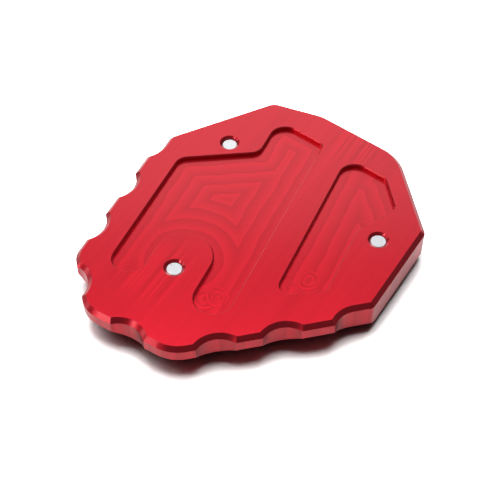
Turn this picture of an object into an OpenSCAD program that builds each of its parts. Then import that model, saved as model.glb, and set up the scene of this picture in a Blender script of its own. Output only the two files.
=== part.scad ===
// Kickstand foot enlarger for a motorcycle side stand, lying with its ground face up.
// A machined plate spreads the load on soft ground. The foot of the stand lies in a recess
// on the other side, held there by a U-shaped bracket and three countersunk screws.
// The y axis runs along the long pocket, and the ground face is the highest face.

/* [Base plate] */
// Thickness of the plate
plate_t = 10; // [9:0.5:14]
// Chamfer round the ground face
ground_chamfer = 1.3; // [0.6:0.1:1.4]
// Height of the upright edge, chamfer included, above the bevel of the scalloped sides
edge_band = 4.7; // [4.5:0.1:7]
// Edge break round the foot face on the plain sides
foot_edge_break = 0.5; // [0.2:0.1:0.8]

/* [Sides of the plate] */
// Direction that the upper right side faces, in degrees
upper_right_facing = 32.7; // [31:0.1:35]
// Distance of the upper right side from the centre
upper_right_distance = 47.3; // [46.5:0.1:48.5]
// Direction that the top side faces, in degrees
top_facing = 75.1; // [73:0.1:77]
// Distance of the top side from the centre
top_distance = 49.7; // [49:0.1:51]
// Direction that the short side beside the top corner faces, in degrees
top_left_facing = 92.3; // [91:0.1:94]
// Distance of the short side beside the top corner from the centre
top_left_distance = 51.6; // [51.2:0.1:52]
// Direction that the upper left side faces, in degrees
upper_left_facing = 139.7; // [138:0.1:141]
// Distance of the upper left side from the centre
upper_left_distance = 46.6; // [46:0.1:47.5]
// Direction that the scalloped left side faces, in degrees
left_facing = 179.5; // [178.5:0.1:180.5]
// Distance of the scalloped left side from the centre
left_distance = 44.6; // [43.8:0.1:45.5]
// Direction that the scalloped lower left side faces, in degrees
lower_left_facing = 217; // [216:0.1:218]
// Distance of the scalloped lower left side from the centre
lower_left_distance = 55.4; // [54.8:0.1:56]
// Direction that the scalloped bottom side faces, in degrees
bottom_facing = 263.1; // [262:0.1:264]
// Distance of the scalloped bottom side from the centre
bottom_distance = 52.4; // [51.8:0.1:53]
// Direction that the scalloped lower right side faces, in degrees
lower_right_facing = 306.2; // [305.5:0.1:307]
// Distance of the scalloped lower right side from the centre
lower_right_distance = 39.8; // [39.4:0.1:40.4]
// Direction that the right side faces, in degrees
right_facing = 351.5; // [350.5:0.1:352.5]
// Distance of the right side from the centre
right_distance = 42.5; // [42:0.1:43.2]

/* [Corners of the plate] */
// Radius between the upper right and the top side
upper_right_r = 14.8; // [5:0.1:18]
// Radius between the top side and the short side beside it
top_r = 5.6; // [2:0.1:8]
// Radius between the short side and the upper left side
top_left_r = 4.7; // [2:0.1:8]
// Radius where the last step of the left side meets the upper left side
left_step_r = 3.7; // [2:0.1:6]
// Radius between the left and the lower left side
left_r = 6.5; // [6:0.1:9]
// Radius between the lower left and the bottom side
lower_left_r = 9.6; // [7:0.1:14]
// Radius between the bottom and the lower right side
bottom_r = 11.6; // [7:0.1:16]
// Radius where the last step of the lower right side meets the right side
right_step_r = 1.6; // [1.5:0.1:3]
// Radius between the right and the upper right side
right_r = 2.6; // [1.6:0.1:5]

/* [Scallops] */
// Radius of the cutter path that makes each scallop
scallop_r = 7.5; // [6:0.1:9]
// Depth of a scallop below the line of its side
scallop_depth = 2.4; // [1.5:0.1:3]
// Distance between neighbouring scallops of one side
scallop_pitch = 18.6; // [17:0.1:20]
// First scallop of the left side, from the point nearest the centre
left_scallop = 20.6; // [18:0.1:22]
// Scallop of the lower left side
lower_left_scallop = 8.6; // [6:0.1:12]
// Scallop of the bottom side
bottom_scallop = -12; // [-14:0.1:-8]
// First scallop of the lower right side
lower_right_scallop = -21.6; // [-23:0.1:-20]
// Where the last scallop of the left side turns into a straight step
left_step = -17.4; // [-19:0.1:-16]
// Depth of that step
left_step_depth = 2.6; // [1.5:0.1:3.5]
// Where the last scallop of the lower right side turns into a straight step
right_step = 18.2; // [17:0.1:20]
// Depth of that step
right_step_depth = 3.5; // [2:0.1:4]

/* [Screws] */
// Place of the upper screw along x
screw_a_x = -23; // [-24:0.1:-22]
// Place of the upper screw along y
screw_a_y = 27.3; // [26.5:0.1:28]
// Place of the lower screw along x
screw_b_x = -16.1; // [-17:0.1:-15.5]
// Place of the lower screw along y
screw_b_y = -25.6; // [-26.5:0.1:-24.5]
// Place of the right screw along x
screw_c_x = 33.8; // [33:0.1:34.5]
// Place of the right screw along y
screw_c_y = 8; // [7:0.1:9]
// Diameter of the screw thread
screw_d = 5; // [4:0.5:5]
// Length of a screw with its head
screw_l = 12; // [11.5:0.5:12.5]
// Diameter of the countersunk head
head_d = 10; // [9:0.1:11]
// Height of the head's upright rim
head_rim = 0.2; // [0.1:0.05:0.4]
// Chamfer at the tip of the screw
tip_chamfer = 0.3; // [0.2:0.1:0.8]
// Width across flats of the hex socket
socket_af = 3; // [2.5:0.5:3.5]
// Depth of the hex socket
socket_depth = 1.9; // [1.2:0.1:2.2]
// How far the heads of the upper, lower and right screws lie below the face of the bracket
head_sunk = [0.1, 0.4, 0.35]; // [0:0.05:0.5]
// Chamfer at both ends of a tapped hole
hole_chamfer = 0.6; // [0.3:0.1:1]

/* [Pockets in the ground face] */
// Depth of the pockets
pocket_depth = 1.4; // [1:0.1:3]
// Chamfer round the mouth of a pocket
pocket_chamfer = 0.3; // [0.2:0.1:0.8]
// Land between the left side of the plate and the long pocket
left_land = 10.1; // [8:0.1:11]
// Land between the top side of the plate and both pockets
top_land = 11.4; // [9:0.1:14]
// Land between the upper right side of the plate and the short pocket
upper_right_land = 6.7; // [5:0.1:9]
// Left edge of the rib between the pockets
rib_x = 4.5; // [3:0.1:7]
// Width of that rib
rib_w = 9.2; // [6:0.1:10]
// Slope of the slanted pocket walls in degrees
wall_slope = 29.5; // [25:0.5:35]
// Upright wall beside the upper screw
upper_step_x = -12.5; // [-14:0.1:-10]
// Land between the upper screw's centre and the slanted wall beside it
screw_a_land = 5.3; // [4:0.1:7]
// Lower end of the middle arm of the long pocket
middle_arm_end = 36.4; // [34:0.1:38]
// Lower end of the left arm of the long pocket
left_arm_end = 32.5; // [30:0.1:34]
// Half the width of the boss round the lower screw
boss_r = 8.85; // [7:0.05:9.2]
// How far the middle of that boss lies to the right of the screw
boss_shift = 0.45; // [-0.5:0.05:0.8]
// Distance from the lower screw to the tip of its boss
boss_reach = 13.5; // [9:0.1:16]
// Land between the right screw and the slanted wall beside it
screw_c_land = 6.6; // [5:0.1:8]
// Land between the right screw and the upright wall beside it
screw_c_side_land = 7; // [6:0.1:9]
// Distance from the centre to the slanted lower wall of the short pocket
short_pocket_end = 27; // [22:0.1:30]

/* [Corners of the pockets] */
// Radius of the pointed corners
pocket_point_r = 1.7; // [1:0.1:3]
// Radius of the outermost corner at the top of both pockets
pocket_top_r = 5; // [3:0.1:8]
// Radius of the upper left corner of the long pocket
pocket_left_r = 4; // [2:0.1:6]
// Radius of the land round the upper screw
screw_a_land_r = 4.5; // [1:0.1:5]
// Radius of the land round the right screw
screw_c_land_r = 5; // [2:0.1:8]
// Radius of the lower corners of the short pocket
short_pocket_r = 3; // [2:0.1:5]

/* [Bracket and recess for the stand] */
// Thickness of the bracket
bracket_t = 3; // [3:0.1:4]
// Radius of the bracket round each screw
bracket_pad_r = 7.5; // [6.5:0.1:9]
// Edge break round the bracket's face
bracket_edge_break = 0.4; // [0.2:0.1:0.8]
// Width of the bracket's slot for the leg of the stand
slot_w = 26; // [20:0.5:28]
// Radius of the corners at the mouth of the slot
slot_mouth_r = 3; // [1:0.5:4]
// Width of the recess for the foot, across the slot
recess_w = 44; // [36:0.5:46]
// Length of the recess, along the slot
recess_l = 36; // [30:0.5:38]
// Radius of the recess's corners
recess_r = 16; // [10:0.5:17]
// Depth of the recess
recess_depth = 4.5; // [3.5:0.1:5]

/* [Clearances] */
// Gap between a screw and its tapped hole, all round
thread_gap = 0.05; // [0.03:0.01:0.15]
// Gap between a screw and its hole in the bracket, all round
shank_gap = 0.25; // [0.1:0.05:0.5]
// Gap between a head and its countersink
head_gap = 0.05; // [0.02:0.01:0.2]

/* [Hidden] */
$fn = 96;
// Overshoot of a cut past the face it opens
over = 1;
// Half the length of a cut that runs past the whole plate
reach = 150;
// How far the cut that rounds a corner reaches past its sides
corner_reach = 3;
// How far the parts of a pocket lap over each other
part_lap = 1;
// Straight stretch between the two arcs of a rounded end
end_flat = 0.4;

// The directions of the axes in degrees
rightward = 0;
upward = 90;
leftward = 180;
downward = 270;

bevel = plate_t - edge_band;
upper_right_side = [upper_right_facing, upper_right_distance];
top_side = [top_facing, top_distance];
top_left_side = [top_left_facing, top_left_distance];
upper_left_side = [upper_left_facing, upper_left_distance];
left_side = [left_facing, left_distance];
lower_left_side = [lower_left_facing, lower_left_distance];
bottom_side = [bottom_facing, bottom_distance];
lower_right_side = [lower_right_facing, lower_right_distance];
right_side = [right_facing, right_distance];
plate_sides = [upper_right_side, top_side, top_left_side, upper_left_side, left_side,
    lower_left_side, bottom_side, lower_right_side, right_side];
plate_radii = [upper_right_r, top_r, top_left_r, 0, left_r, lower_left_r, bottom_r, 0, right_r];
plain_section = edge_section(plate_t, foot_edge_break, ground_chamfer);
bevelled_section = edge_section(plate_t, bevel, ground_chamfer);
plate_sections = [for (i = [0:8]) i >= 4 && i <= 7 ? bevelled_section : plain_section];

screw_a = [screw_a_x, screw_a_y];
screw_b = [screw_b_x, screw_b_y];
screw_c = [screw_c_x, screw_c_y];
screws = [screw_a, screw_b, screw_c];
screw_r = screw_d / 2;
head_r = head_d / 2;
cone_h = head_r - screw_r;

// The centre of the recess is as far from one screw as from another.
seat = equidistant(screw_a, screw_b, screw_c);
mouth = atan2(screw_c[1] - screw_a[1], screw_c[0] - screw_a[0]) + upward;
recess_sides = [[rightward, recess_l / 2], [upward, recess_w / 2], [leftward, recess_l / 2],
    [downward, recess_w / 2]];

bracket_sides = [for (i = [0:2]) tangent(screws[i], next(screws, i))];
bracket_mouth = bracket_sides[2];
bracket_section = edge_section(bracket_t, bracket_edge_break, 0);

// The slot is open at its first side, which lies past the edge of the bracket.
slot_half = [reach / 2, slot_w / 2, slot_w / 2, slot_w / 2];
slot_end_r = (slot_w - end_flat) / 2;
slot_sides = [for (i = [0:3]) beside(seat, mouth + upward * i, slot_half[i])];

// Walls of the long pocket
pocket_top = [top_facing, top_distance - top_land];
long_right = [rightward, rib_x];
long_left = [leftward, left_distance - left_land];
long_step = [leftward, -upper_step_x];
long_slant = beside(screw_a, upward + wall_slope, -screw_a_land);
boss = screw_b + [boss_shift, 0];
boss_left = beside(boss, rightward, -boss_r);
boss_right = beside(boss, leftward, -boss_r);
boss_tip = beside(boss, downward, -boss_reach);
boss_tip_r = boss_r - end_flat / 2;
left_arm_r = (long_left[1] + boss_left[1] - end_flat) / 2;
middle_arm_r = (long_right[1] + boss_right[1] - end_flat) / 2;
step_y = meet(long_slant, long_step)[1];
arm_top = [upward, part_lap - boss_tip[1]];

// Walls of the short pocket
short_left = [leftward, -rib_x - rib_w];
short_right = beside(screw_c, rightward, -screw_c_side_land);
short_lower = [downward + wall_slope, short_pocket_end];
short_slant = beside(screw_c, downward + 2 * wall_slope, -screw_c_land);
short_upper_right = [upper_right_facing, upper_right_distance - upper_right_land];
short_step_y = meet(short_right, short_slant)[1];

// A side is the direction it faces and its distance from the origin.
function facing(a) = [cos(a), sin(a)];
function along(p, a) = p * facing(a);
function beside(p, a, d) = [a, along(p, a) + d];
function turned(s) = [s[0] + 180, -s[1]];
function meet(s, t) = [s[1] * sin(t[0]) - t[1] * sin(s[0]), t[1] * cos(s[0]) - s[1] * cos(t[0])]
    / sin(t[0] - s[0]);
function turn(s, t) = (t[0] - s[0] + 900) % 360 - 180;
function next(list, i) = list[(i + 1) % len(list)];
function tangent(p, q) = beside(p, atan2(q[1] - p[1], q[0] - p[0]) - 90, bracket_pad_r);
function equidistant(p, q, r) = let (u = q - p, v = r - p, k = 2 * (u[0] * v[1] - u[1] * v[0]))
    p + [v[1] * (u * u) - u[1] * (v * v), u[0] * (v * v) - v[0] * (u * u)] / k;

// An edge section lists points from the foot up, each an offset outwards from the side and a
// height. This one is for a plate with a bevel at its foot and one at its top.
function edge_section(t, low, high) = concat(low > 0 ? [[-low, 0], [0, low]] : [[0, 0]],
    high > 0 ? [[0, t - high], [-high, t]] : [[0, t]]);
// The wall of a pocket with its mouth at height 0, flared by the chamfer of the mouth
function wall_section(depth, chamfer) = [[0, -depth], [0, -chamfer], [chamfer + over, over]];
// The wall of a boss that stands in such a pocket
function boss_section(depth, chamfer) = [[0, -depth], [0, -chamfer], [-chamfer, 0]];

// Where the arc between two sides has its centre: inside an outer corner, outside an inner one
function bend(s, t) = turn(s, t) > 0 ? 1 : -1;
function corner_tip(s, t, past) = meet(s, t)
    + facing(s[0] + turn(s, t) / 2) * past / cos(turn(s, t) / 2);
function arc_centre(s, t, r) = corner_tip(s, t, -bend(s, t) * r);

// All that lies behind one side
module slab(side, section) {
    top = section[len(section) - 1][1];
    foot = section[0][1];
    rotate([0, 0, side[0]]) translate([side[1], reach, 0]) rotate([90, 0, 0])
        linear_extrude(2 * reach) polygon(concat(section, [[-reach, top], [-reach, foot]]));
}

// What rounding the corner between two sides takes away, from the foot of the section up.
// It is the kite between the arc's centre and the corner, less what stands inside the arc.
module corner_cut(s, t, r, section, below = over / 2) {
    c = arc_centre(s, t, r);
    k = bend(s, t);
    foot = section[0];
    top = section[len(section) - 1];
    difference() {
        translate([0, 0, foot[1] - below]) linear_extrude(top[1] - foot[1] + below + over / 2)
            polygon([c, c + k * (r + corner_reach) * facing(s[0]),
                corner_tip(s, t, k * corner_reach), c + k * (r + corner_reach) * facing(t[0])]);
        translate(c) rotate_extrude()
            polygon(concat([[0, foot[1] - over], [r + foot[0], foot[1] - over]],
                [for (p = section) [r + p[0], p[1]]],
                [[r + top[0], top[1] + over], [0, top[1] + over]]));
    }
}

// A convex solid of straight sides, listed anticlockwise, with its corners rounded. A radius
// of 0 leaves the corner after that side sharp.
module convex_solid(sides, radii, sections) {
    difference() {
        intersection_for (i = [0:len(sides) - 1]) slab(sides[i], sections[i]);
        for (i = [0:len(sides) - 1])
            if (radii[i] > 0) corner_cut(sides[i], next(sides, i), radii[i], sections[i]);
    }
}

// One convex part of a pocket, with its mouth at height 0
module pocket_part(sides, radii, depth, chamfer) {
    convex_solid(sides, radii, [for (s = sides) wall_section(depth, chamfer)]);
}

// Rounds a corner of the land that stands out into a pocket
module land_cut(s, t, r) {
    corner_cut(s, t, r, boss_section(pocket_depth, pocket_chamfer), 0);
}

module ground_pocket_part(sides, radii) {
    pocket_part(sides, radii, pocket_depth, pocket_chamfer);
}

// The long pocket: its body, its upper end, and an arm on each side of the lower boss
module long_pocket() {
    ground_pocket_part([long_right, [upward, step_y + part_lap], long_slant, long_left, boss_tip],
        [0, 0, pocket_left_r, 0, 0]);
    ground_pocket_part([long_right, pocket_top, long_step, [downward, part_lap - step_y]],
        [pocket_point_r, pocket_top_r, 0, 0]);
    ground_pocket_part([boss_left, arm_top, long_left, [downward, left_arm_end]],
        [0, 0, left_arm_r, left_arm_r]);
    ground_pocket_part([long_right, arm_top, boss_right, [downward, middle_arm_end]],
        [0, 0, middle_arm_r, middle_arm_r]);
}

// The land beside the upper screw and the boss round the lower screw
module long_pocket_lands() {
    land_cut(long_step, long_slant, screw_a_land_r);
    land_cut(boss_left, boss_tip, boss_tip_r);
    land_cut(boss_tip, boss_right, boss_tip_r);
}

// The short pocket: its upper part beside the right side, and its lower part
module short_pocket() {
    ground_pocket_part([short_upper_right, pocket_top, short_left, short_slant],
        [pocket_point_r, pocket_top_r, 0, pocket_point_r]);
    ground_pocket_part([short_right, [upward, short_step_y + part_lap], short_left, short_lower],
        [0, 0, short_pocket_r, short_pocket_r]);
}

// A scallop, cut straight down with the chamfer of the ground face round its top
module scallop(side, place, depth) {
    rotate([0, 0, side[0]]) translate([side[1] + scallop_r - depth, place, 0]) rotate_extrude()
        polygon([[0, -over], [scallop_r, -over], [scallop_r, plate_t - ground_chamfer],
            [scallop_r + ground_chamfer + over, plate_t + over], [0, plate_t + over]]);
}

// A scallop that turns into a straight step and runs out past the neighbouring side
module end_step(side, neighbour, place, depth, r) {
    after = turn(side, neighbour) > 0;
    step = [side[0], side[1] - depth];
    scallop(side, place, depth);
    rotate([0, 0, side[0]]) translate([step[1], after ? place + scallop_pitch : place, 0])
        rotate([90, 0, 0]) linear_extrude(scallop_pitch)
            polygon([[0, -over], [0, plate_t - ground_chamfer],
                [-ground_chamfer - over, plate_t + over], [2 * depth, plate_t + over],
                [2 * depth, -over]]);
    corner_cut(after ? step : neighbour, after ? neighbour : step, r, plain_section);
}

module tapped_hole(p) {
    r = screw_r + thread_gap;
    translate([p[0], p[1], 0]) rotate_extrude()
        polygon([[0, -over], [r + hole_chamfer + over, -over], [r, hole_chamfer],
            [r, plate_t - hole_chamfer], [r + hole_chamfer + over, plate_t + over],
            [0, plate_t + over]]);
}

// The plate without its pockets and its recess
module plate_blank() {
    difference() {
        convex_solid(plate_sides, plate_radii, plate_sections);
        for (i = [0:1]) {
            scallop(left_side, left_scallop - i * scallop_pitch, scallop_depth);
            scallop(lower_right_side, lower_right_scallop + i * scallop_pitch, scallop_depth);
        }
        scallop(lower_left_side, lower_left_scallop, scallop_depth);
        scallop(bottom_side, bottom_scallop, scallop_depth);
        end_step(left_side, upper_left_side, left_step, left_step_depth, left_step_r);
        end_step(lower_right_side, right_side, right_step, right_step_depth, right_step_r);
        for (p = screws) tapped_hole(p);
    }
}

module base_plate() {
    color("crimson") translate([0, 0, bracket_t]) difference() {
        plate_blank();
        translate([0, 0, plate_t]) {
            long_pocket();
            long_pocket_lands();
            short_pocket();
            land_cut(short_right, short_slant, screw_c_land_r);
        }
        translate([seat[0], seat[1], 0]) rotate([0, 0, mouth]) mirror([0, 0, 1])
            pocket_part(recess_sides, [for (i = [0:3]) recess_r], recess_depth, foot_edge_break);
    }
}

// The U-shaped bracket: a pad round each screw, open towards the side that the leg comes from
module clamp_bracket() {
    color("firebrick") difference() {
        convex_solid(bracket_sides, [for (i = [0:2]) bracket_pad_r],
            [for (i = [0:2]) bracket_section]);
        mirror([0, 0, 1]) pocket_part(slot_sides, [0, slot_end_r, slot_end_r, 0],
            bracket_t + over, bracket_edge_break);
        corner_cut(bracket_mouth, turned(slot_sides[3]), slot_mouth_r, bracket_section);
        corner_cut(turned(slot_sides[1]), bracket_mouth, slot_mouth_r, bracket_section);
        for (i = [0:2]) countersink(screws[i], head_sunk[i]);
    }
}

// The seat of one countersunk head, from the exposed face of the bracket upwards
module countersink(p, sunk) {
    mouth_r = head_r + head_gap;
    r = screw_r + shank_gap;
    rim_h = sunk + head_rim;
    translate([p[0], p[1], 0]) rotate_extrude()
        polygon([[0, -over], [mouth_r, -over], [mouth_r, rim_h], [r, rim_h + mouth_r - r],
            [r, bracket_t + over], [0, bracket_t + over]]);
}

// One countersunk screw with a hex socket, standing on its head
module screw() {
    difference() {
        rotate_extrude()
            polygon([[0, 0], [head_r, 0], [head_r, head_rim], [screw_r, head_rim + cone_h],
                [screw_r, screw_l - tip_chamfer], [screw_r - tip_chamfer, screw_l], [0, screw_l]]);
        translate([0, 0, -over])
            cylinder(h = socket_depth + over, d = socket_af / cos(30), $fn = 6);
    }
}

// The three equal screws
module clamp_screws() {
    color("gainsboro") for (i = [0:2])
        translate([screws[i][0], screws[i][1], head_sunk[i]]) screw();
}

base_plate();
clamp_bracket();
clamp_screws();
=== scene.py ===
"""Look of the kickstand foot enlarger: red anodised plate and bracket, zinc plated screws."""

import math

import bmesh
import bpy
from bpy.props import FloatProperty, FloatVectorProperty, PointerProperty
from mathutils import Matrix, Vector

bl_info = {
    "name": "Kickstand foot enlarger",
    "version": (1, 0, 0),
    "blender": (4, 5, 0),
    "location": "3D View > Sidebar > Foot",
    "description": "Finishes and studio of a machined foot for a motorcycle side stand",
    "category": "Object",
}

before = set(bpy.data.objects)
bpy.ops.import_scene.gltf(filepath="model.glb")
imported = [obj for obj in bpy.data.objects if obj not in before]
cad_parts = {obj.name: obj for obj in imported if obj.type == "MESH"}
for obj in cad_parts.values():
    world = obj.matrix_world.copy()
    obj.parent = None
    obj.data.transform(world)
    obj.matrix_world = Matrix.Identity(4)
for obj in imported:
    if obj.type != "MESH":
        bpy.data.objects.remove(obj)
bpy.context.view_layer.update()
MM = 0.001


def linear(hex_colour):
    """Linear colour from an sRGB hex value."""
    parts = [int(hex_colour[i:i + 2], 16) / 255 for i in (1, 3, 5)]
    return [p / 12.92 if p <= 0.04045 else ((p + 0.055) / 1.055) ** 2.4 for p in parts]


class FootFinish(bpy.types.PropertyGroup):
    """Colours and surface values of the metals."""

    dye: FloatVectorProperty(
        name="Dye", description="Colour of the red anodised layer", subtype="COLOR", size=3,
        min=0, max=1, default=linear("#CA1428"))
    # Darker tone of the marks: painted sheen of the cutter marks
    painted_mark_shade: FloatVectorProperty(
        name="Dye in the pass lines", description="Colour along the edge of a milling pass",
        subtype="COLOR", size=3, min=0, max=1, default=linear("#AE0E20"))
    dye_roughness: FloatProperty(
        name="Roughness", description="Roughness of the anodised layer", default=0.32, min=0, max=1,
        subtype="FACTOR")
    zinc: FloatVectorProperty(
        name="Zinc", description="Colour of the plated screws", subtype="COLOR", size=3,
        min=0, max=1, default=linear("#D2D5D8"))
    zinc_roughness: FloatProperty(
        name="Zinc roughness", description="Roughness of the plated screws", default=0.3,
        min=0, max=1, subtype="FACTOR")
    coat: FloatProperty(
        name="Coat", description="How much of the clear oxide layer shows", default=0.5, min=0,
        max=1, subtype="FACTOR")


class FootMilling(bpy.types.PropertyGroup):
    """Marks that the cutters leave."""

    pass_width: FloatProperty(
        name="Pass width", description="Distance between the passes in a pocket, in mm",
        default=4.3, min=1, max=10)
    feed_lines: FloatProperty(
        name="Feed lines", description="Distance between the fine lines of a pass, in mm",
        default=0.6, min=0.1, max=2)
    face_lines: FloatProperty(
        name="Face lines", description="Distance between the lines of the face mill, in mm",
        default=0.6, min=0.1, max=3)
    depth: FloatProperty(
        name="Depth", description="Depth of the marks", subtype="DISTANCE", unit="LENGTH",
        default=0.02 * MM, min=0, max=1 * MM, precision=6)


class FootStudio(bpy.types.PropertyGroup):
    """Camera, lamps and floor."""

    target: FloatVectorProperty(
        name="Target", description="Point on the ground face that the camera looks at",
        subtype="XYZ", unit="LENGTH", size=3, default=(1.05 * MM, -10.87 * MM, 13 * MM))
    distance: FloatProperty(
        name="Distance", description="From the target to the camera", unit="LENGTH",
        default=298.7 * MM, min=0.1)
    azimuth: FloatProperty(
        name="Azimuth", description="Turn of the camera about the plate", subtype="ANGLE",
        default=math.radians(24))
    elevation: FloatProperty(
        name="Elevation", description="Camera above the horizon", subtype="ANGLE",
        default=math.radians(50))
    lens: FloatProperty(
        name="Lens", description="Focal length in mm on a 36 mm sensor", default=74.16, min=10)
    lamp_level: FloatProperty(
        name="Lamps", description="Level of all the lamps together", default=1, min=0)
    room: FloatProperty(
        name="Room", description="Light that the dim room throws on everything", default=0.02,
        min=0)
    room_reflection: FloatProperty(
        name="Room reflection", description="Brightness of the room as the metal mirrors it",
        default=0.18, min=0)
    floor_gain: FloatProperty(
        name="Floor gain", description="How much brighter the camera sees the floor", default=3.2,
        min=1)
    floor_mirrored: FloatProperty(
        name="Floor mirrored", description="Share of that gain that the metal mirrors",
        default=0.08, min=0, max=1, subtype="FACTOR")
    floor: FloatVectorProperty(
        name="Floor", description="Colour of the floor", subtype="COLOR", size=3, min=0, max=1,
        default=linear("#CECECE"))
    # Reach of the painted shade that darkens the board around the plate
    painted_shade: FloatProperty(
        name="Painted shade", description="How far from the plate the board darkens", unit="LENGTH",
        default=10 * MM, min=0, precision=4)
    floor_size: FloatProperty(
        name="Floor size", description="Side of the floor", unit="LENGTH", default=1.5, min=1)


# Walls of the pockets as (direction that the wall faces away from the pocket in degrees, distance
# from the middle of the plate in mm). The passes of the cutter run parallel to them.
LONG_POCKET = [[(0, 4.5), (119.5, 29.8), (180, 34.5)], [(0, 4.5), (75.1, 38.3), (180, 12.5)]]
SHORT_POCKET = [[(32.7, 40.6), (75.1, 38.3), (180, -13.7)],
                [(0, 26.8), (180, -13.7), (299.5, 27.0)]]
# Round end of the boss that the passes of the long pocket go round: x, y and radius in mm
BOSS = (-15.65, -20.75, 8.65)
# How far the passes wander from straight lines, and the size of their bends, in mm
PASS_WANDER = 2.2
PASS_BENDS = 9
# Places where the cutter plunged, the radius of its marks, and the distance between them, in mm
PLUNGES = [(-3.4, -31.6), (-0.6, -29.4), (17.0, -16.9), (20.6, -13.6)]
PLUNGE_RADIUS = 4.4
PLUNGE_RINGS = 1.6
# How far those rings are pulled out of round, and the size of the patches where they show, in mm
PLUNGE_WANDER = 6.0
PLUNGE_PATCHES = 3
# Where the lines of the face mill show most: x, y and radius in mm. They run almost along y.
# Elsewhere they are faint between broad strips, whose width is in mm.
FACE_SPOTS = [(-22, -29, 17), (14, 42, 13)]
FACE_LINE_TURN = math.radians(7)
FACE_FAINT = 0.15
FACE_STRIPS = 7
# Height of the pocket floor above the board, in mm
POCKET_FLOOR = 11.6
# Painted shade on the board beside the plate: share of open sky where it is darkest and where
# it is clear, and how bright the board is left where it is darkest
PAINTED_SHADE_SKY = (0.36, 0.78)
PAINTED_SHADE_LEVEL = 0.1

# The soft lamps and the white cards that only the metal mirrors: azimuth and elevation in degrees
# as seen from the plate, distance and side in m, and power in watts
LAMPS = {
    "back": (112, 31, 1.4, 0.9, 3.3),
    "top": (106, 83, 1.4, 0.75, 20.0),
    "left": (184, 55, 1.4, 0.9, 8.0),
}
CARDS = {
    "left_card": (231, 31, 1.2, 0.3, 1.8),
    "low_card": (196, 17, 1.3, 0.4, 1.0),
    "back_card": (142, 12, 1.4, 0.7, 2.5),
}

MATH = "ShaderNodeMath"
VECTOR_MATH = "ShaderNodeVectorMath"
MIX = "ShaderNodeMix"
NOISE = "ShaderNodeTexNoise"


def add(tree, kind, inputs, output=0, **settings):
    """Adds a node with its settings, its values and its links, and returns one of its outputs."""
    node = tree.nodes.new(kind)
    for name, value in settings.items():
        setattr(node, name, value)
    for key, value in inputs.items():
        if isinstance(value, bpy.types.NodeSocket):
            tree.links.new(value, node.inputs[key])
        else:
            node.inputs[key].default_value = value
    return node.outputs[output]


def new_material(name):
    """An empty node material and its output node."""
    material = bpy.data.materials.new(name)
    material.use_nodes = True
    material.node_tree.nodes.clear()
    end = material.node_tree.nodes.new("ShaderNodeOutputMaterial")
    return material, material.node_tree, end


def dress(node_name, material):
    """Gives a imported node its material."""
    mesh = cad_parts[node_name].data
    mesh.materials.clear()
    mesh.materials.append(material)


def wall_distance(tree, place, walls):
    """Distance in mm from the nearest of some straight walls, positive inside them."""
    nearest = 1000.0
    for angle, reach in walls:
        turn = math.radians(angle)
        along = add(tree, VECTOR_MATH, {0: place, 1: (math.cos(turn), math.sin(turn), 0)},
                    "Value", operation="DOT_PRODUCT")
        inside = add(tree, MATH, {0: reach, 1: along}, operation="SUBTRACT")
        nearest = add(tree, MATH, {0: nearest, 1: inside}, operation="MINIMUM")
    return nearest


def point_distance(tree, place, x, y):
    """Distance in mm from an upright line through x, y."""
    flat = add(tree, VECTOR_MATH, {0: place, 1: (1, 1, 0)}, operation="MULTIPLY")
    return add(tree, VECTOR_MATH, {0: flat, 1: (x, y, 0)}, "Value", operation="DISTANCE")


def below(tree, value, limit, soft):
    """1 where a value is below a limit, falling to 0 over a soft stretch past it."""
    return add(tree, "ShaderNodeMapRange",
               {"Value": value, "From Min": limit, "From Max": limit + soft, "To Min": 1,
                "To Max": 0}, interpolation_type="SMOOTHSTEP")


def pass_distance(tree, place):
    """Distance in mm from the wall that a pass of the pocket cutter follows."""
    parts = [wall_distance(tree, place, walls) for walls in LONG_POCKET]
    widest = add(tree, MATH, {0: parts[0], 1: parts[1]}, operation="MAXIMUM")
    boss = point_distance(tree, place, BOSS[0], BOSS[1])
    from_boss = add(tree, MATH, {0: boss, 1: BOSS[2]}, operation="SUBTRACT")
    long_pocket = add(tree, MATH, {0: widest, 1: from_boss}, operation="MINIMUM")
    parts = [wall_distance(tree, place, walls) for walls in SHORT_POCKET]
    short_pocket = add(tree, MATH, {0: parts[0], 1: parts[1]}, operation="MAXIMUM")
    return add(tree, MATH, {0: long_pocket, 1: short_pocket}, operation="MAXIMUM")


def ripple(tree, value, period):
    """A wave from 0 to 1 along a value."""
    phase = add(tree, MATH, {0: value, 1: 2 * math.pi / period}, operation="MULTIPLY")
    wave = add(tree, MATH, {0: phase}, operation="SINE")
    return add(tree, MATH, {0: wave, 1: 0.5, 2: 0.5}, operation="MULTIPLY_ADD")


def saw(tree, value, period):
    """A ramp from 0 to 1 along a value that drops back within a tenth of its period."""
    part = add(tree, MATH, {0: value, 1: 1 / period}, operation="MULTIPLY")
    ramp = add(tree, MATH, {0: part}, operation="FRACT")
    back = add(tree, "ShaderNodeMapRange", {"Value": ramp, "From Min": 0.9, "From Max": 1.0})
    return add(tree, MATH, {0: ramp, 1: back}, operation="SUBTRACT")


def noise(tree, place, size, detail=2.0):
    """Noise with lumps of about the given x, y and z size in mm."""
    scaled = add(tree, VECTOR_MATH, {0: place, 1: [1 / s for s in size]}, operation="MULTIPLY")
    return add(tree, NOISE, {"Vector": scaled, "Scale": 1.0, "Detail": detail}, "Fac")


def blend(tree, factor, low, high):
    """A number between two others."""
    return add(tree, MIX, {0: factor, 2: low, 3: high}, data_type="FLOAT")


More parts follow.
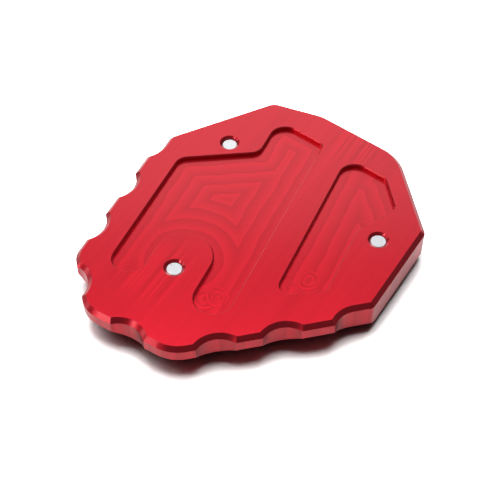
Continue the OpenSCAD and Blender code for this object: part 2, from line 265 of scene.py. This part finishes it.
def anodised_aluminium(name, milling, finish, pockets):
    """Anodised aluminium, milled and then dyed: bright metal seen through a red oxide layer. It
    shines softly in the dye's colour, with a weak white gloss from the layer's surface, and it
    keeps the marks of the face mill and of the passes in the pockets. The marks are shallow
    relief, and the darker tone they give the colour is painted sheen."""
    material, tree, end = new_material(name)
    object_place = add(tree, "ShaderNodeTexCoord", {}, "Object")
    place = add(tree, VECTOR_MATH, {0: object_place, "Scale": 1000.0}, operation="SCALE")
    height = add(tree, "ShaderNodeSeparateXYZ", {0: place}, "Z")

    # The face mill leaves fine straight lines along the plate, in broad strips. They show most
    # where the cutter pressed hardest.
    turned = add(tree, "ShaderNodeVectorRotate", {"Vector": place, "Angle": FACE_LINE_TURN},
                 rotation_type="Z_AXIS")
    fine = noise(tree, turned, (milling.face_lines, 90, 30), 1.0)
    strips = noise(tree, turned, (FACE_STRIPS, 160, 30))
    shown = FACE_FAINT
    for x, y, radius in FACE_SPOTS:
        spot = below(tree, point_distance(tree, place, x, y), radius * 0.3, radius * 0.7)
        shown = add(tree, MATH, {0: spot, 1: shown}, operation="MAXIMUM")
    fine_lines = add(tree, "ShaderNodeMapRange", {
        "Value": fine, "From Min": 0.35, "From Max": 0.65})
    marks = blend(tree, shown, strips, fine_lines)

    if pockets:
        # The pocket cutter leaves a band for each pass, and arcs where it plunged.
        wander = noise(tree, place, (PASS_BENDS, PASS_BENDS, PASS_BENDS))
        patches = add(tree, "ShaderNodeMapRange", {
            "Value": noise(tree, place, (PLUNGE_PATCHES, PLUNGE_PATCHES, PLUNGE_PATCHES)),
            "From Min": 0.42, "From Max": 0.58})
        distance = add(tree, MATH, {0: wander, 1: PASS_WANDER, 2: pass_distance(tree, place)},
                       operation="MULTIPLY_ADD")
        bands = saw(tree, distance, milling.pass_width)
        feed = ripple(tree, distance, milling.feed_lines)
        floor_marks = blend(tree, 0.15, bands, feed)
        for x, y in PLUNGES:
            radius = point_distance(tree, place, x, y)
            wobble = add(tree, MATH, {0: wander, 1: PLUNGE_WANDER, 2: radius},
                         operation="MULTIPLY_ADD")
            rings = ripple(tree, wobble, PLUNGE_RINGS)
            inside = below(tree, radius, PLUNGE_RADIUS - 1.5, 1.5)
            arcs = add(tree, MATH, {0: inside, 1: patches}, operation="MULTIPLY")
            floor_marks = blend(tree, arcs, floor_marks, rings)
        is_floor = below(tree, height, POCKET_FLOOR + 0.05, 0.05)
        marks = blend(tree, is_floor, marks, floor_marks)

    # Painted sheen: the marks darken the dye towards the painted mark shade; the bump below gives
    # their real relief
    colour = add(tree, MIX, {0: marks, 6: (*finish.dye, 1), 7: (*finish.painted_mark_shade, 1)},
                 2, data_type="RGBA")
    normal = add(tree, "ShaderNodeBump", {"Height": marks, "Distance": milling.depth,
                                          "Strength": 1.0})
    surface = add(tree, "ShaderNodeBsdfPrincipled", {
        "Base Color": colour, "Metallic": 1.0, "Roughness": finish.dye_roughness,
        "Normal": normal, "Coat Weight": finish.coat, "Coat Roughness": 0.18, "Coat IOR": 1.6})
    tree.links.new(surface, end.inputs["Surface"])
    return material


def zinc_plated_steel(finish):
    """Zinc plated steel, turned and rolled: bright grey-white, with a gloss that is cloudy in
    patches of about a millimetre."""
    material, tree, end = new_material("zinc_plated_steel")
    object_place = add(tree, "ShaderNodeTexCoord", {}, "Object")
    place = add(tree, VECTOR_MATH, {0: object_place, "Scale": 1000.0}, operation="SCALE")
    cloud = noise(tree, place, (1.2, 1.2, 1.2))
    roughness = blend(tree, cloud, finish.zinc_roughness - 0.06, finish.zinc_roughness + 0.06)
    surface = add(tree, "ShaderNodeBsdfPrincipled", {
        "Base Color": (*finish.zinc, 1), "Metallic": 1.0, "Roughness": roughness})
    tree.links.new(surface, end.inputs["Surface"])
    return material


def white_floor(studio):
    """Painted board, matt white. The camera sees it over-lit, as a photographer's white sweep is,
    and the metal mirrors a little of that. It leaves the shadow and keeps that light off the
    object. Close to the plate it carries painted shade: an ambient occlusion factor darkens the
    colour that the camera and the metal see, where little light reaches the board."""
    material, tree, end = new_material("white_board")
    rays = add(tree, "ShaderNodeLightPath", {}).node.outputs
    mirrored = add(tree, MATH, {0: rays["Is Glossy Ray"], 1: rays["Is Transmission Ray"]},
                   operation="MAXIMUM")
    shown = add(tree, MATH, {0: mirrored, 1: studio.floor_mirrored, 2: rays["Is Camera Ray"]},
                operation="MULTIPLY_ADD")
    # Painted shade: an ambient occlusion factor darkens the board close to the plate, in the colour
    # that the camera and the metal see
    open_sky = add(tree, "ShaderNodeAmbientOcclusion", {"Distance": studio.painted_shade}, "AO", samples=8)
    painted_shade = add(tree, "ShaderNodeMapRange", {
        "Value": open_sky, "From Min": PAINTED_SHADE_SKY[0], "From Max": PAINTED_SHADE_SKY[1],
        "To Min": PAINTED_SHADE_LEVEL, "To Max": 1.0})
    seen = [level * studio.floor_gain for level in studio.floor]
    painted_shade_colour = add(tree, MIX, {0: painted_shade, 6: (0, 0, 0, 1), 7: (*seen, 1)}, 2, data_type="RGBA")
    colour = add(tree, MIX, {0: shown, 6: (*studio.floor, 1), 7: painted_shade_colour}, 2,
                 data_type="RGBA")
    board = add(tree, "ShaderNodeBsdfDiffuse", {"Color": colour})
    tree.links.new(board, end.inputs["Surface"])
    return material


class FOOT_OT_finish_plate(bpy.types.Operator):
    """Give the base plate its red anodised, milled finish"""

    bl_idname = "foot.finish_plate"
    bl_label = "Finish the plate"

    def execute(self, context):
        scene = context.scene
        material = anodised_aluminium(
            "anodised_aluminium_plate", scene.foot_milling, scene.foot_finish, True)
        dress("base_plate", material)
        return {"FINISHED"}


class FOOT_OT_finish_bracket(bpy.types.Operator):
    """Give the clamp bracket its red anodised finish"""

    bl_idname = "foot.finish_bracket"
    bl_label = "Finish the bracket"

    def execute(self, context):
        scene = context.scene
        material = anodised_aluminium(
            "anodised_aluminium_bracket", scene.foot_milling, scene.foot_finish, False)
        dress("clamp_bracket", material)
        return {"FINISHED"}


class FOOT_OT_finish_screws(bpy.types.Operator):
    """Give the screws their zinc plated finish"""

    bl_idname = "foot.finish_screws"
    bl_label = "Finish the screws"

    def execute(self, context):
        dress("clamp_screws", zinc_plated_steel(context.scene.foot_finish))
        return {"FINISHED"}


def look_at(obj, place, target):
    """Puts an object at a place and turns it to look at a target."""
    obj.location = place
    obj.rotation_euler = (Vector(target) - Vector(place)).to_track_quat("-Z", "Y").to_euler()


class FOOT_OT_studio(bpy.types.Operator):
    """Set up the floor, the lamps and the camera"""

    bl_idname = "foot.studio"
    bl_label = "Set up the studio"

    def execute(self, context):
        scene = context.scene
        studio = scene.foot_studio
        scene.view_settings.view_transform = "Standard"

        board = bmesh.new()
        bmesh.ops.create_grid(board, x_segments=1, y_segments=1, size=studio.floor_size / 2)
        mesh = bpy.data.meshes.new("floor")
        board.to_mesh(mesh)
        board.free()
        mesh.materials.append(white_floor(studio))
        floor = bpy.data.objects.new("floor", mesh)
        scene.collection.objects.link(floor)

        target = Vector(studio.target)
        for name, (azimuth, elevation, distance, side, power) in {**LAMPS, **CARDS}.items():
            lamp = bpy.data.lights.new(name, "AREA")
            lamp.shape = "SQUARE"
            lamp.size = side
            lamp.energy = power * studio.lamp_level
            lamp_object = bpy.data.objects.new(name, lamp)
            lamp_object.visible_diffuse = name in LAMPS
            scene.collection.objects.link(lamp_object)
            turn, rise = math.radians(azimuth), math.radians(elevation)
            level = math.cos(rise)
            towards = Vector((level * math.cos(turn), level * math.sin(turn), math.sin(rise)))
            look_at(lamp_object, target + distance * towards, target)

        world = bpy.data.worlds.new("room")
        world.use_nodes = True
        rays = add(world.node_tree, "ShaderNodeLightPath", {}).node.outputs
        strength = blend(world.node_tree, rays["Is Glossy Ray"], studio.room,
                         studio.room_reflection)
        strength = blend(world.node_tree, rays["Is Camera Ray"], strength, 1.0)
        room = world.node_tree.nodes["Background"]
        room.inputs["Color"].default_value = (1, 1, 1, 1)
        world.node_tree.links.new(strength, room.inputs["Strength"])
        scene.world = world

        camera = bpy.data.cameras.new("camera")
        camera.sensor_width = 36
        camera.lens = studio.lens
        camera.clip_start = 0.01
        camera_object = bpy.data.objects.new("camera", camera)
        scene.collection.objects.link(camera_object)
        level = math.cos(studio.elevation)
        towards = Vector((level * math.sin(studio.azimuth), -level * math.cos(studio.azimuth),
                          math.sin(studio.elevation)))
        look_at(camera_object, target + towards * studio.distance, target)
        scene.camera = camera_object
        return {"FINISHED"}


class FOOT_PT_panel(bpy.types.Panel):
    """Settings and steps of the kickstand foot enlarger"""

    bl_idname = "FOOT_PT_panel"
    bl_label = "Kickstand foot enlarger"
    bl_space_type = "VIEW_3D"
    bl_region_type = "UI"
    bl_category = "Foot"

    def draw(self, context):
        layout = self.layout
        scene = context.scene
        for settings in (scene.foot_finish, scene.foot_milling, scene.foot_studio):
            box = layout.box()
            for name in settings.bl_rna.properties.keys():
                if name not in ("rna_type", "name"):
                    box.prop(settings, name)
        for operator in STEPS:
            layout.operator(operator.bl_idname)


STEPS = (FOOT_OT_finish_plate, FOOT_OT_finish_bracket, FOOT_OT_finish_screws, FOOT_OT_studio)
GROUPS = {"foot_finish": FootFinish, "foot_milling": FootMilling, "foot_studio": FootStudio}


def register():
    for group in GROUPS.values():
        bpy.utils.register_class(group)
    for name, group in GROUPS.items():
        setattr(bpy.types.Scene, name, PointerProperty(type=group))
    for operator in STEPS:
        bpy.utils.register_class(operator)
    bpy.utils.register_class(FOOT_PT_panel)


def unregister():
    bpy.utils.unregister_class(FOOT_PT_panel)
    for operator in reversed(STEPS):
        bpy.utils.unregister_class(operator)
    for name in GROUPS:
        delattr(bpy.types.Scene, name)
    for group in GROUPS.values():
        bpy.utils.unregister_class(group)


def main():
    register()
    bpy.ops.foot.finish_plate()
    bpy.ops.foot.finish_bracket()
    bpy.ops.foot.finish_screws()
    bpy.ops.foot.studio()


if __name__ == "__main__":
    main()
